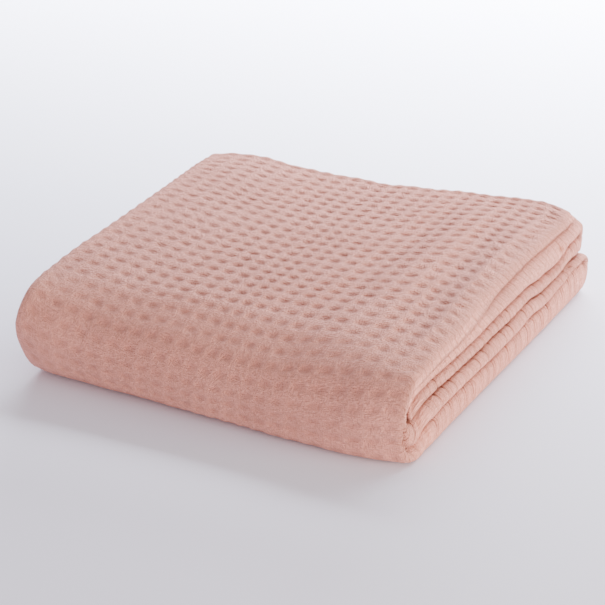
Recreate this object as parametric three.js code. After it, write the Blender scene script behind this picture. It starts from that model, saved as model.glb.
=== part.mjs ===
// Waffle weave cotton blanket, folded to a flat square pack.
//
// The cloth is one sheet, about 1.6 m by 2.0 m. It is folded in half and in half
// again across its width, which makes a strip of four layers. The strip is then
// folded along its length into five legs that lie on each other:
//
//   top leg    <- free hem at the back, smooth over the top
//   high leg   \_ these two meet in a fold at the back
//   mid leg    /  whose free hem ends inside the front fold
//   low leg    \_ these two meet in a fold at the back
//   floor leg  /
//
// The top leg runs round the whole front into the floor leg, and inside it the
// high leg runs round into the low leg. Everything is one closed sheet, a little
// apart from itself at every layer.
//
// Units are millimetres, +Z is up and the front fold faces -Y. The blanket stands
// on z = 0 with the middle of its footprint at the origin.

import * as THREE from 'three';

// ---------------------------------------------------------------- sizes

const SHEET_THICKNESS = 3;
const LEG_HEIGHT = 16.6;          // four layers of the strip
const LAYERS = 4;
const LAYER_PITCH = LEG_HEIGHT / LAYERS;
const LEGS = 5;
const HALF_WIDTH = 200;           // half of the strip's width, to its folded edges
const HEM_SETBACK = 3.5;          // the hems stop short of the folded edge
const ROLL_LENGTH = 1.3;          // folded edges are this much longer than round
const ROLL_FULLNESS = 0.8;        // 1 is round, less is squarer
const PRESSED_FULLNESS = 0.36;    // where two legs are pressed into one roll
const SMALL_ROLL_FULLNESS = 0.85;

const WRAP_Y = -169;              // axis of the front folds
const WRAP_Z = (LEG_HEIGHT * LEGS) / 2;
const LOW_BACK_Y = 194;           // axis of the fold between floor and low leg
const HIGH_BACK_Y = 190;          // axis of the fold between high and mid leg
const TOP_HEM_Y = 202;            // free hem of the top leg
const NOSE = 7;                   // the free hem inside the front fold is rounded

const COLUMNS = [-170, -125, -45, 35, 100, 140, 165, 179];  // stations across a layer
const ROWS = [-100, -20, 60, 110, 155];                // stations along a leg
const EDGE_STEPS = 6;
const SMALL_EDGE_STEPS = 4;
const FRONT_STEPS = 8;
const BACK_STEPS = 5;

// How the pack has settled. Each row is a section across the pack at y. Its
// columns are the heights of the seams between legs and of the crown on top.
const SEAMS = ['low', 'mid', 'high', 'top', 'crown'];

const RIGHT_SECTIONS = [
  { y: -213, low: 13, mid: 27, high: 43, top: 60, crown: 73 },
  { y: -170, low: 17, mid: 37, high: 52, top: 65, crown: 78 },
  { y: -100, low: 18, mid: 38, high: 54, top: 67, crown: 80 },
  { y: -30, low: 20, mid: 38.5, high: 52, top: 69, crown: 80.5 },
  { y: 20, low: 21.5, mid: 39.5, high: 52, top: 72, crown: 81 },
  { y: 60, low: 23.5, mid: 39, high: 52.5, top: 74, crown: 81.5 },
  { y: 95, low: 25, mid: 36.5, high: 49, top: 74, crown: 82 },
  { y: 130, low: 26, mid: 35, high: 46, top: 73, crown: 82 },
  { y: 160, low: 30, mid: 38, high: 47, top: 71, crown: 81 },
  { y: 185, low: 33, mid: 41, high: 50, top: 69, crown: 80 },
  { y: 214, low: 32, mid: 41, high: 51, top: 67, crown: 79 },
];

const MIDDLE_SECTIONS = [
  { y: -213, low: 15, mid: 30, high: 45, top: 60, crown: 77 },
  { y: -160, low: 16, mid: 32, high: 48, top: 64, crown: 80.5 },
  { y: -95, low: 16.6, mid: 33.2, high: 49.8, top: 66.4, crown: 83.5 },
  { y: 120, low: 16.8, mid: 33.6, high: 50.4, top: 67, crown: 84 },
  { y: 214, low: 16.5, mid: 33, high: 49, top: 65, crown: 81 },
];

const LEFT_SECTIONS = [
  { y: -213, low: 15, mid: 30, high: 44, top: 59, crown: 73 },
  { y: -150, low: 15.5, mid: 31, high: 46, top: 62, crown: 79 },
  { y: -75, low: 16, mid: 32, high: 48, top: 65, crown: 82 },
  { y: 150, low: 16, mid: 32, high: 48, top: 65, crown: 82 },
  { y: 214, low: 16, mid: 32, high: 48, top: 63, crown: 79 },
];

// How far each leg reaches to the right, in sections across the pack at y.
const LEG_NAMES = ['floorLeg', 'lowLeg', 'midLeg', 'highLeg', 'topLeg'];

const RIGHT_REACH = [
  { y: -213, floorLeg: 198, lowLeg: 198, midLeg: 198, highLeg: 198, topLeg: 198 },
  { y: -190, floorLeg: 202, lowLeg: 201, midLeg: 193, highLeg: 193, topLeg: 198 },
  { y: -160, floorLeg: 203, lowLeg: 204, midLeg: 194, highLeg: 193, topLeg: 196 },
  { y: -100, floorLeg: 202, lowLeg: 204, midLeg: 197, highLeg: 195, topLeg: 193 },
  { y: 0, floorLeg: 202, lowLeg: 204, midLeg: 197, highLeg: 195, topLeg: 190 },
  { y: 100, floorLeg: 202, lowLeg: 202, midLeg: 197, highLeg: 195, topLeg: 189 },
  { y: 214, floorLeg: 203, lowLeg: 202, midLeg: 197, highLeg: 194, topLeg: 189 },
];

const LEFT_REACH = { floorLeg: 194, lowLeg: 198, midLeg: 204, highLeg: 207, topLeg: 206 };

// The outline seen from above is uneven. At each x the front bulges forward, and
// the backs of the top leg and of the floor leg move by these amounts.
const OUTLINE = [
  { x: -200, front: 0, topBack: -10, floorBack: -4 },
  { x: -110, front: 4, topBack: -5, floorBack: 0 },
  { x: -40, front: 6, topBack: -16, floorBack: -2 },
  { x: 20, front: 8, topBack: -5, floorBack: 0 },
  { x: 80, front: 11, topBack: 6, floorBack: 2 },
  { x: 150, front: 12, topBack: 14, floorBack: 5 },
  { x: 200, front: 7, topBack: 19, floorBack: 10 },
];

const CROWN_BOW = 2.2;            // squareness of the front fold: 2 is round
const FOOT_BOW = { left: 3, right: 5.5 };
const RIGHT_SHOULDER = { from: 95, span: 100, power: 2.4 };
const LEFT_SHOULDER = { from: -140, span: -60, power: 2.2 };
const CORNER = { from: 170, span: 30, power: 2, depth: 4 };
const UPPER_BACK = { from: LEG_HEIGHT, span: 3.5 * LEG_HEIGHT, power: 1 };

// Where each of these comes in: nothing at `from`, all of it a `span` further on.
const RIGHT_REACH_RAMP = { from: 60, span: 140 };     // over x
const LEFT_REACH_RAMP = { from: -60, span: -140 };
const FOOT_BOW_RAMP = { from: -100, span: 200 };
const FRONT_RAMP = { from: -60, span: -120 };         // over y
const BACK_RAMP = { from: 40, span: 150 };
const FRONT_CORNER_RAMP = { from: -120, span: -60 };
const BACK_CORNER_RAMP = { from: 140, span: 50 };
const PRESSED_LEG_RAMP = { from: 30, span: -70 };
const NOSE_RAMP = { from: -120, span: -49 };
const OUTER_FOLD_RELEASE = { from: 0.25, span: 0.3 }; // over the turn of a fold
const INNER_FOLD_PRESS = { from: 0.45, span: 0.3 };

// ---------------------------------------------------------------- helpers

const { clamp, lerp } = THREE.MathUtils;

function ease(t) {
  const s = clamp(t, 0, 1);
  return s * s * (3 - 2 * s);
}

function ramp(value, { from, span }) {
  return ease((value - from) / span);
}

function shoulder(value, { from, span, power }) {
  return clamp((value - from) / span, 0, 1) ** power;
}

function signedPower(value, power) {
  return Math.sign(value) * Math.abs(value) ** power;
}

// A column of a table at a place between its rows, eased from row to row.
function readTable(table, key, at, column) {
  const last = table.length - 1;
  const place = clamp(at, table[0][key], table[last][key]);
  let row = 0;
  while (row < last - 1 && place >= table[row + 1][key]) row += 1;
  const here = table[row];
  const next = table[row + 1];
  const t = ease((place - here[key]) / (next[key] - here[key]));
  return lerp(here[column], next[column], t);
}

// ---------------------------------------------------------------- strip

// The strip's section: stations along the middle of the cloth, from the hem of
// layer four round to the hem of layer three. `w` runs through the four layers,
// from 0 on the inside of the front fold to LEG_HEIGHT on its outside.
function stripSection() {
  const stations = [];
  const rightEdge = HALF_WIDTH - 2 * LAYER_PITCH * ROLL_LENGTH;
  const leftEdge = -(HALF_WIDTH - LAYER_PITCH / 2 - SHEET_THICKNESS / 2);
  const hem = -(HALF_WIDTH - HEM_SETBACK);
  const [fourth, third, second, first] = [0.5, 1.5, 2.5, 3.5].map((n) => n * LAYER_PITCH);
  const [outer, inner] = [1.5 * LAYER_PITCH, 0.5 * LAYER_PITCH];

  function layer(fromX, toX, w, facing) {
    const columns = toX > fromX ? COLUMNS : [...COLUMNS].reverse();
    for (const x of [fromX, ...columns, toX]) {
      stations.push({ x, w, facing });
    }
  }

  function edge(x, w, radius, start, end, steps, facing, right) {
    for (let i = 1; i < steps; i += 1) {
      const angle = lerp(start, end, i / steps);
      stations.push({ x, w, facing, radius, angle, right });
    }
  }

  const quarter = Math.PI / 2;
  layer(hem, rightEdge, fourth, -1);
  edge(rightEdge, 2 * LAYER_PITCH, outer, -quarter, quarter, EDGE_STEPS, 1, true);
  layer(rightEdge, leftEdge, first, 1);
  edge(leftEdge, 3 * LAYER_PITCH, inner, quarter, 3 * quarter, SMALL_EDGE_STEPS, 1, false);
  layer(leftEdge, rightEdge, second, -1);
  edge(rightEdge, 2 * LAYER_PITCH, inner, quarter, -quarter, SMALL_EDGE_STEPS, -1, true);
  layer(rightEdge, hem, third, 1);
  return stations;
}

// A point of the section on one face of the cloth. Folded edges are rounded
// squares, squarer on the inner side of the front fold where legs are pressed.
function sectionPoint(station, face, pressed) {
  const offset = face * station.facing * SHEET_THICKNESS / 2;
  if (station.radius === undefined) {
    return { x: station.x, w: station.w + offset - LEG_HEIGHT / 2 };
  }
  const radius = station.radius + offset;
  const across = Math.cos(station.angle);
  const through = Math.sin(station.angle);
  let power = SMALL_ROLL_FULLNESS;
  if (station.right) {
    power = through < 0 ? lerp(ROLL_FULLNESS, PRESSED_FULLNESS, pressed) : ROLL_FULLNESS;
  }
  const stretch = station.right ? ROLL_LENGTH : 1;
  return {
    x: station.x + radius * stretch * signedPower(across, power),
    w: station.w + radius * signedPower(through, power) - LEG_HEIGHT / 2,
  };
}

// ---------------------------------------------------------------- route

// The route of the strip's middle, seen from the right: five legs and four
// folds. `side` points to layer one. `pressed` says how far the top and the high
// leg are pressed together, and `nose` rounds the hidden hem.
function stripRoute() {
  const route = [];
  const level = (leg) => (leg + 0.5) * LEG_HEIGHT;
  const pressedAt = (y) => ramp(y, PRESSED_LEG_RAMP);

  function leg(fromY, toY, z, { pressed = () => 0, nose = 0 } = {}) {
    const heading = Math.sign(toY - fromY);
    const inner = heading > 0 ? ROWS : [...ROWS].reverse();
    for (const y of [fromY, ...inner, toY]) {
      route.push({
        y,
        z,
        side: { y: 0, z: -heading },
        pressed: pressed(y),
        nose: nose * ramp(y, NOSE_RAMP),
      });
    }
  }

  function fold(y, z, radius, heading, turn, steps, pressed = () => 0) {
    for (let i = 1; i < steps; i += 1) {
      const angle = heading + turn * Math.PI * i / steps;
      const side = { y: Math.sin(angle), z: -Math.cos(angle) };
      route.push({
        y: y + turn * radius * side.y,
        z: z + turn * radius * side.z,
        side,
        pressed: pressed(i / steps),
        nose: 0,
      });
    }
  }

  leg(TOP_HEM_Y, WRAP_Y, level(4), { pressed: pressedAt });
  fold(WRAP_Y, WRAP_Z, 2 * LEG_HEIGHT, Math.PI, 1, FRONT_STEPS, (t) => 1 - ramp(t, OUTER_FOLD_RELEASE));
  leg(WRAP_Y, LOW_BACK_Y, level(0));
  fold(LOW_BACK_Y, LEG_HEIGHT, LEG_HEIGHT / 2, 0, 1, BACK_STEPS);
  leg(LOW_BACK_Y, WRAP_Y, level(1));
  fold(WRAP_Y, WRAP_Z, LEG_HEIGHT, Math.PI, -1, FRONT_STEPS, (t) => ramp(t, INNER_FOLD_PRESS));
  leg(WRAP_Y, HIGH_BACK_Y, level(3), { pressed: pressedAt });
  fold(HIGH_BACK_Y, 3 * LEG_HEIGHT, LEG_HEIGHT / 2, 0, -1, BACK_STEPS);
  leg(HIGH_BACK_Y, WRAP_Y, level(2), { nose: NOSE });
  return route;
}

// ---------------------------------------------------------------- settling

// Squares the front folds about their axis, more at the foot than at the crown.
function bowFront(x, y, z) {
  const forward = y - WRAP_Y;
  const upward = z - WRAP_Z;
  if (forward >= 0) return { y, z };
  const footBow = lerp(FOOT_BOW.left, FOOT_BOW.right, ramp(x, FOOT_BOW_RAMP));
  const bow = upward < 0 ? footBow : CROWN_BOW;
  const radius = Math.hypot(forward, upward);
  const sum = Math.abs(forward / radius) ** bow + Math.abs(upward / radius) ** bow;
  const stretch = sum ** (-1 / bow);
  return { y: WRAP_Y + forward * stretch, z: WRAP_Z + upward * stretch };
}

// The height of each seam at a place, from the three sets of sections.
function seamHeight(x, y, seam) {
  const right = shoulder(x, RIGHT_SHOULDER);
  const left = shoulder(x, LEFT_SHOULDER);
  const middleHeight = readTable(MIDDLE_SECTIONS, 'y', y, seam);
  const rightHeight = readTable(RIGHT_SECTIONS, 'y', y, seam);
  const leftHeight = readTable(LEFT_SECTIONS, 'y', y, seam);
  return middleHeight + (rightHeight - middleHeight) * right + (leftHeight - middleHeight) * left;
}

// Settles the height: between its seams a leg is stretched or squeezed evenly.
// The underside of the floor leg stays flat on z = 0.
function settleHeight(x, y, z) {
  const underside = (LAYER_PITCH - SHEET_THICKNESS) / 2;
  const leg = clamp(Math.floor(z / LEG_HEIGHT), 0, LEGS - 1);
  const bottom = leg === 0 ? underside : leg * LEG_HEIGHT;
  const t = (z - bottom) / ((leg + 1) * LEG_HEIGHT - bottom);
  const low = leg === 0 ? 0 : seamHeight(x, y, SEAMS[leg - 1]);
  return lerp(low, seamHeight(x, y, SEAMS[leg]), t);
}

// Moves the folded edges out or in, leg by leg.
function settleAcross(x, y, z) {
  const level = clamp(z / LEG_HEIGHT - 0.5, 0, LEGS - 1);
  const leg = Math.min(Math.floor(level), LEGS - 2);
  const lower = LEG_NAMES[leg];
  const upper = LEG_NAMES[leg + 1];
  const t = level - leg;
  const rightReach = lerp(readTable(RIGHT_REACH, 'y', y, lower), readTable(RIGHT_REACH, 'y', y, upper), t);
  const leftReach = lerp(LEFT_REACH[lower], LEFT_REACH[upper], t);
  return x
    + (rightReach - HALF_WIDTH) * ramp(x, RIGHT_REACH_RAMP)
    - (leftReach - HALF_WIDTH) * ramp(x, LEFT_REACH_RAMP);
}

// Moves the front and the back to the uneven outline, with rounded corners.
function settleAlong(x, y, z) {
  const upper = shoulder(z, UPPER_BACK);
  const topBack = readTable(OUTLINE, 'x', x, 'topBack');
  const floorBack = readTable(OUTLINE, 'x', x, 'floorBack');
  const front = readTable(OUTLINE, 'x', x, 'front');
  const corner = CORNER.depth * shoulder(Math.abs(x), CORNER);
  return y
    - front * ramp(y, FRONT_RAMP)
    + lerp(floorBack, topBack, upper) * ramp(y, BACK_RAMP)
    + corner * ramp(y, FRONT_CORNER_RAMP)
    - corner * ramp(y, BACK_CORNER_RAMP);
}

function settle(x, y, z) {
  const bowed = bowFront(x, y, z);
  return new THREE.Vector3(
    settleAcross(x, bowed.y, bowed.z),
    settleAlong(x, bowed.y, bowed.z),
    settleHeight(x, bowed.y, bowed.z),
  );
}

// ---------------------------------------------------------------- blanket

// Both faces of the cloth are grids of the same stations. The two grids are
// joined round the four hems, which makes one closed sheet.
function blanketGeometry() {
  const section = stripSection();
  const route = stripRoute();
  const across = section.length;
  const along = route.length;
  const positions = [];

  for (const face of [1, -1]) {
    for (const station of section) {
      for (const place of route) {
        const { x, w } = sectionPoint(station, face, place.pressed);
        const rounding = Math.sqrt(Math.max(0, 1 - (2 * w / LEG_HEIGHT) ** 2));
        const y = place.y + w * place.side.y - place.nose * rounding;
        const z = place.z + w * place.side.z;
        positions.push(...settle(x, y, z));
      }
    }
  }

  const vertex = (face, i, j) => (face * across + i) * along + j;
  const indices = [];
  const quad = (a, b, c, d) => indices.push(a, b, c, a, c, d);

  for (let i = 0; i < across - 1; i += 1) {
    for (let j = 0; j < along - 1; j += 1) {
      quad(vertex(0, i, j), vertex(0, i + 1, j), vertex(0, i + 1, j + 1), vertex(0, i, j + 1));
      quad(vertex(1, i, j), vertex(1, i, j + 1), vertex(1, i + 1, j + 1), vertex(1, i + 1, j));
    }
  }
  for (let i = 0; i < across - 1; i += 1) {
    const end = along - 1;
    quad(vertex(0, i, 0), vertex(1, i, 0), vertex(1, i + 1, 0), vertex(0, i + 1, 0));
    quad(vertex(0, i + 1, end), vertex(1, i + 1, end), vertex(1, i, end), vertex(0, i, end));
  }
  for (let j = 0; j < along - 1; j += 1) {
    const end = across - 1;
    quad(vertex(0, 0, j + 1), vertex(1, 0, j + 1), vertex(1, 0, j), vertex(0, 0, j));
    quad(vertex(0, end, j), vertex(1, end, j), vertex(1, end, j + 1), vertex(0, end, j + 1));
  }

  const geometry = new THREE.BufferGeometry();
  geometry.setAttribute('position', new THREE.Float32BufferAttribute(positions, 3));
  geometry.setIndex(indices);
  geometry.computeBoundingBox();
  const { min, max } = geometry.boundingBox;
  geometry.translate(-(min.x + max.x) / 2, -(min.y + max.y) / 2, -min.z);
  geometry.computeVertexNormals();
  return geometry;
}

const cotton = new THREE.MeshStandardMaterial({
  name: 'peach cotton waffle weave',
  color: 0xd3aea2,
  roughness: 0.95,
  metalness: 0,
});

const blanket = new THREE.Mesh(blanketGeometry(), cotton);
blanket.name = 'blanket';

const part = new THREE.Group();
part.add(blanket);

export default part;
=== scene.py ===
# %% [markdown]
# # A folded waffle weave blanket
#
# The object is one sheet of cotton, about 1.6 m by 2 m, folded to a soft square pack.
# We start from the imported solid, which gives the frame and the size, and we lay a much
# finer sheet of cloth on the same folds. The cloth's lengths are in millimetres, as a
# maker would measure them, and become Blender's metres when the mesh is made. The
# camera and the lights are placed in metres.

import math

import bpy
import numpy as np
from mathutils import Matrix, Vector


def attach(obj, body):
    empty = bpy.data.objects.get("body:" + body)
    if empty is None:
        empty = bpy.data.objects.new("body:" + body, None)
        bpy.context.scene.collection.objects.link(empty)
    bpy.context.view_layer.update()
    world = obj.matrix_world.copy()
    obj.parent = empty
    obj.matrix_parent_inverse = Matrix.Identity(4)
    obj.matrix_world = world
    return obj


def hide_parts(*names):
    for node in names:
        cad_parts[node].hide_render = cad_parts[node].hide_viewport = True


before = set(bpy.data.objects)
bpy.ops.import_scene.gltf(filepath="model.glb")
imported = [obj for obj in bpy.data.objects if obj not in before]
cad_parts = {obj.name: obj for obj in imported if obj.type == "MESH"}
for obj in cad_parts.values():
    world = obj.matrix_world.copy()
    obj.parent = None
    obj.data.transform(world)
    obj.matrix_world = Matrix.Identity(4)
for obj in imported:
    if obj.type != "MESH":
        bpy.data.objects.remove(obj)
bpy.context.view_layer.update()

# %% [markdown]
# ## Camera
#
# A product view from the front, turned a little to the right: the front fold, the top
# and the rolled edges on the right all show. A short lens close by would blow up the
# near corner. A long lens keeps the far edge nearly as wide as the near one. The camera
# is made first, because everything else is judged through it.

# %% Camera
CAMERA_AZIMUTH = math.radians(26.58)
CAMERA_ELEVATION = math.radians(25.36)
CAMERA_DISTANCE = 2.893
CAMERA_AIM = (-0.0075, 0.0015, 0.0285)
CAMERA_LENS, CAMERA_SENSOR = 178.5, 36

camera_data = bpy.data.cameras.new("camera")
camera_data.lens = CAMERA_LENS
camera_data.sensor_width = CAMERA_SENSOR
camera = bpy.data.objects.new("camera", camera_data)
camera.location = (
    CAMERA_AIM[0] + CAMERA_DISTANCE * math.sin(CAMERA_AZIMUTH) * math.cos(CAMERA_ELEVATION),
    CAMERA_AIM[1] - CAMERA_DISTANCE * math.cos(CAMERA_AZIMUTH) * math.cos(CAMERA_ELEVATION),
    CAMERA_AIM[2] + CAMERA_DISTANCE * math.sin(CAMERA_ELEVATION),
)
camera.rotation_euler = (math.pi / 2 - CAMERA_ELEVATION, 0, CAMERA_AZIMUTH)
bpy.context.scene.collection.objects.link(camera)
bpy.context.scene.camera = camera
print("camera at", [round(v, 3) for v in camera.location])

# %% [markdown]
# ## How the blanket is folded
#
# First the cloth is folded in four across its width, which gives a strip with four
# layers: a wide round edge on the right, a small one and two hems on the left. Then the
# strip is folded along its length: the top leg runs over the front into the floor leg,
# back into the low leg, round the inside of the front into the high leg, and once more
# into the mid leg, whose hem ends inside the front fold.
#
# A fold can be simulated, but a simulation of twenty layers is slow and hard to steer.
# Here both folds are known, so the sheet is a function of two parameters: `across`,
# which runs round the strip's section, and `along`, which runs along its route.
# The whole part of each counts the segments, and the fraction is the place in one.

# %% Sizes of the fold
LAYERS, LEGS = 4, 5  # layers in the strip, legs in the pack
SHEET = 3.0  # thickness of the cloth
LEG = 16.6  # height of one leg of the strip before it settles
PITCH = LEG / LAYERS
HALF_WIDTH = 200.0
ROLL_LENGTH = 1.3  # the rolled edge is this many times as deep as a half circle
WRAP_Y = -169.0  # the axis of the front folds
WRAP_Z = LEG * LEGS / 2
LOW_BACK_Y, HIGH_BACK_Y, TOP_HEM_Y = 194.0, 190.0, 202.0
NOSE = 7.0  # how far the mid leg's hem pushes into the front fold

RIGHT_EDGE = HALF_WIDTH - 2 * PITCH * ROLL_LENGTH
LEFT_EDGE = -(HALF_WIDTH - PITCH / 2 - SHEET / 2)
LEFT_HEM = -(HALF_WIDTH - 3.5)
print("strip of", LAYERS, "layers,", LEGS, "legs,", LAYERS * LEGS, "layers in all")

# %% [markdown]
# ## Easing
#
# Cloth bends without kinks, so nearly every change below is eased in and out. Blender's
# curve widgets could hold such changes, but a few short functions are easier to read.


# %% Easing
def ease(t):
    """Goes from 0 to 1 with no slope at either end: 3 t squared less 2 t cubed."""
    t = np.clip(t, 0, 1)
    return t * t * (3 - 2 * t)


def ramp(value, start, span):
    """Nothing up to start, all of it a span further on, eased between."""
    return ease((value - start) / span)


def shoulder(value, start, span, power):
    """Like a ramp, but it starts as a power curve and ends steep."""
    return np.clip((value - start) / span, 0, 1) ** power


def bell(value, middle, width):
    """1 at the middle, falling to both sides: e to minus the squared distance in widths."""
    return np.exp(-(((value - middle) / width) ** 2))


def mix(a, b, t):
    """Straight from a to b as t goes from 0 to 1."""
    return a + (b - a) * t


print("a quarter of the way, eased:", ease(0.25))

# %% [markdown]
# ## Soft chance
#
# Cloth is uneven too. Random numbers would change with every added draw, so chance
# comes from a function of the place: the same cell always gets the same number.


# %% Soft chance
def hashed(a, b, seed):
    """A number from 0 to 1 that looks random but depends only on the cell: the
    fraction of a large multiple of a sine."""
    value = np.sin(a * 12.9898 + b * 78.233 + seed * 37.719) * 43758.5453
    return value - np.floor(value)


def soft_noise(a, b, seed):
    """Smooth bumps from -1 to 1: hashed numbers at whole places, eased between."""
    a0, b0 = np.floor(a), np.floor(b)
    ta, tb = ease(a - a0), ease(b - b0)
    low = mix(hashed(a0, b0, seed), hashed(a0 + 1, b0, seed), ta)
    high = mix(hashed(a0, b0 + 1, seed), hashed(a0 + 1, b0 + 1, seed), ta)
    return 2 * mix(low, high, tb) - 1


print("soft chance at 0.5, 0.5:", round(float(soft_noise(0.5, 0.5, 1)), 3))

# %% [markdown]
# ## The waffle grid
#
# Waffle weave is a grid of square cells with a soft pit in each. The pits give the
# blanket its look, so the grid is laid first and the mesh is cut to fit it: each cell
# has eight steps along the strip and seven across it, close together at the pit and
# wide on the rib. That way every pit gets the same few vertices, and none is lost
# between two rows.
#
# Cells are counted in columns across the strip and in rows along it. Cloth gives, so
# the columns are not evenly wide: this short table says where they lie.

# %% Columns of the waffle
CELL = 16.0
CELL_STEPS = (-0.5, -0.32, -0.2, -0.1, 0.0, 0.1, 0.2, 0.32)
ACROSS_STEPS = (-0.5, -0.34, -0.2, -0.07, 0.07, 0.2, 0.34)
WIDE_STEPS = (-0.5, -0.27, -0.1, 0.0, 0.1, 0.27)
FIRST_COLUMN, LAST_FLAT_COLUMN, LAST_ROLL_COLUMN, HEM_COLUMN = -0.7, 22.0, 24.45, 47.15
COLUMN_PLACES = np.array(
    [  # column of the grid, its x near the back, its x near the front
        (FIRST_COLUMN, LEFT_EDGE, LEFT_EDGE),
        (0, -180, -183),
        (2, -144, -150),
        (5, -93, -103),
        (7, -61, -71),
        (10, -14, -22),
        (12, 16, 7),
        (15, 61, 54),
        (17, 90, 88),
        (19, 131, 133),
        (21, 169, 172),
        (LAST_FLAT_COLUMN, RIGHT_EDGE, RIGHT_EDGE),
    ]
)
BACK_ROW, FRONT_ROW = 5, -10  # the rows that the table's two places are for
COLUMN_WANDER = 1.8  # how far a column strays sideways
WANDER_SIZE = (3.1, 3.7)  # how wide and how long one stray is, in cells


def column_x(column, row):
    """The x of a column on the outermost layer: the table's back and front places,
    read straight between its columns and eased from back to front."""
    toward_front = ease((BACK_ROW - row) / (BACK_ROW - FRONT_ROW))
    back = np.interp(column, COLUMN_PLACES[:, 0], COLUMN_PLACES[:, 1])
    front = np.interp(column, COLUMN_PLACES[:, 0], COLUMN_PLACES[:, 2])
    inside = ramp(column, FIRST_COLUMN, 2) * ramp(column, LAST_FLAT_COLUMN, -2)
    wander = COLUMN_WANDER * soft_noise(column / WANDER_SIZE[0], row / WANDER_SIZE[1], 23)
    return mix(back, front, toward_front) + wander * inside


print("column 10, back and front:", column_x(10.0, np.array([BACK_ROW, FRONT_ROW])).round(1))

# %% [markdown]
# ## The rows
#
# Along its length the cloth has nine segments: five legs and four folds. A leg's length
# and the pitch of the weave give its number of cells. A fold is longer on its outer
# side, where the weave shows, so its number of cells is chosen. Rows are counted down
# from the top hem, so a change further inside leaves the rows of the top where they are.

# %% Rows of the waffle
TOP_HEM_ROW = 9.4
CELLS_ALONG = {  # cells along each segment of the route, on its outer side
    "top leg": (TOP_HEM_Y - WRAP_Y) / CELL,
    "front": 8.3,
    "floor leg": (LOW_BACK_Y - WRAP_Y) / CELL,
    "low back": 3.1,
    "low leg": (LOW_BACK_Y - WRAP_Y) / CELL,
    "inner front": 3.3,
    "high leg": (HIGH_BACK_Y - WRAP_Y) / CELL,
    "high back": 3.1,
    "mid leg": (HIGH_BACK_Y - WRAP_Y) / CELL,
}
ROW_BREAKS = TOP_HEM_ROW - np.cumsum([0.0, *CELLS_ALONG.values()])


def along_of(row):
    """The parameter along the route at a row of the grid: straight between breaks."""
    return np.interp(-row, -ROW_BREAKS, np.arange(float(len(ROW_BREAKS))))


print("rows at the ends of the route's segments:", np.round(ROW_BREAKS, 1))

# %% [markdown]
# ## The rows bow
#
# On the top each row lies further back at both sides than in its middle, as cloth does
# when its middle was pulled forward in the folding. The bow fades away down the front
# fold and toward the hem. Turning the whole grid could not do that, so the row number
# itself is shifted before the route is read.

# %% Bow of the rows
ROW_BOW = np.array(
    [  # x on the flat, how far the rows bow toward the back there
        (-185, 27),
        (-146, 19),
        (-94, 5),
        (-30, 0),
        (32, 5),
        (61, 13),
        (85, 23),
        (135, 34),
        (165, 31),
        (190, 25),
    ]
)
BOW_SHARE = np.array([(-25, 0), (-12, 0.35), (-2, 1), (1, 1), (TOP_HEM_ROW, 0)])  # row, share
ROW_WOBBLE, ROW_WOBBLE_SIZE = 0.14, (55, 3.3)  # height in cells, size in x and in rows
EDGE_WOBBLE, EDGE_WOBBLE_SIZE = 0.24, (30, 1.4)
EDGE_PART = (165, 25)  # the wobble of the rolled edge starts at this x, over this span


def bowed(x, row):
    """The row's place after the bow: the row plus the bow at x, faded over rows, plus
    a small wobble that is stronger and shorter at the rolled edge."""
    bow = np.interp(x, ROW_BOW[:, 0], ROW_BOW[:, 1]) / CELL
    wobble = ROW_WOBBLE * soft_noise(x / ROW_WOBBLE_SIZE[0], row / ROW_WOBBLE_SIZE[1], 21)
    shaken = EDGE_WOBBLE * soft_noise(x / EDGE_WOBBLE_SIZE[0], row / EDGE_WOBBLE_SIZE[1], 22)
    wobble = wobble + shaken * ramp(x, *EDGE_PART)
    inside = ramp(row, TOP_HEM_ROW, -1.5)
    return row + bow * np.interp(row, BOW_SHARE[:, 0], BOW_SHARE[:, 1]) + wobble * inside


print("bow at the right, in rows:", round(float(bowed(135.0, 0.0)), 2))

# %% [markdown]
# ## The strip's section
#
# Across its width the sheet is wound into a flat spiral of seven segments, each a flat
# layer or a round edge. `facing` says which side of the cloth is the right one there.
# A Python loop could build layer after layer, but one function that picks each point's
# segment from a table takes whole arrays, so a million points cost no more lines than
# one. The rolled edge is fuller than a circle, because four layers of soft cloth push
# it out, so its cosine and sine are raised to a power below 1.

# %% Section of the strip
SECTION = np.array(
    [  # start x, end x, height in pitches, facing, radius in pitches, angles in half turns
        (LEFT_HEM, RIGHT_EDGE, 0.5, -1, 0.0, 0.0, 0.0),
        (RIGHT_EDGE, RIGHT_EDGE, 2.0, 1, 1.5, -0.5, 0.5),
        (RIGHT_EDGE, LEFT_EDGE, 3.5, 1, 0.0, 0.0, 0.0),
        (LEFT_EDGE, LEFT_EDGE, 3.0, 1, 0.5, 0.5, 1.5),
        (LEFT_EDGE, RIGHT_EDGE, 2.5, -1, 0.0, 0.0, 0.0),
        (RIGHT_EDGE, RIGHT_EDGE, 2.0, -1, 0.5, 0.5, -0.5),
        (RIGHT_EDGE, LEFT_HEM, 1.5, 1, 0.0, 0.0, 0.0),
    ]
)
FOURTH, ROLL, FIRST, SMALL_EDGE, SECOND, INNER_EDGE, THIRD = range(len(SECTION))
ROLL_POWER, PRESSED_POWER, LEFT_POWER = 0.8, 0.25, 0.85
PRESSED_REACH = 1.07  # the pressed lower side of a roll fills the gap below it


def segment_of(parameter, table):
    """The segment that a parameter lies in, and the fraction that is past its start."""
    segment = np.clip(np.floor(parameter).astype(int), 0, len(table) - 1)
    return segment, parameter - segment


def signed_power(value, power):
    """The value's sign times its size to a power: makes a circle a rounded square."""
    return np.sign(value) * np.abs(value) ** power


print("section has", len(SECTION), "segments")

# %% [markdown]
# A point of the section is x and a height. Both faces of the sheet come from the same
# line: each lies half the cloth's thickness off it. A Solidify modifier could thicken
# the sheet afterwards, but where layers lie this close its walls would cross.


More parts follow.
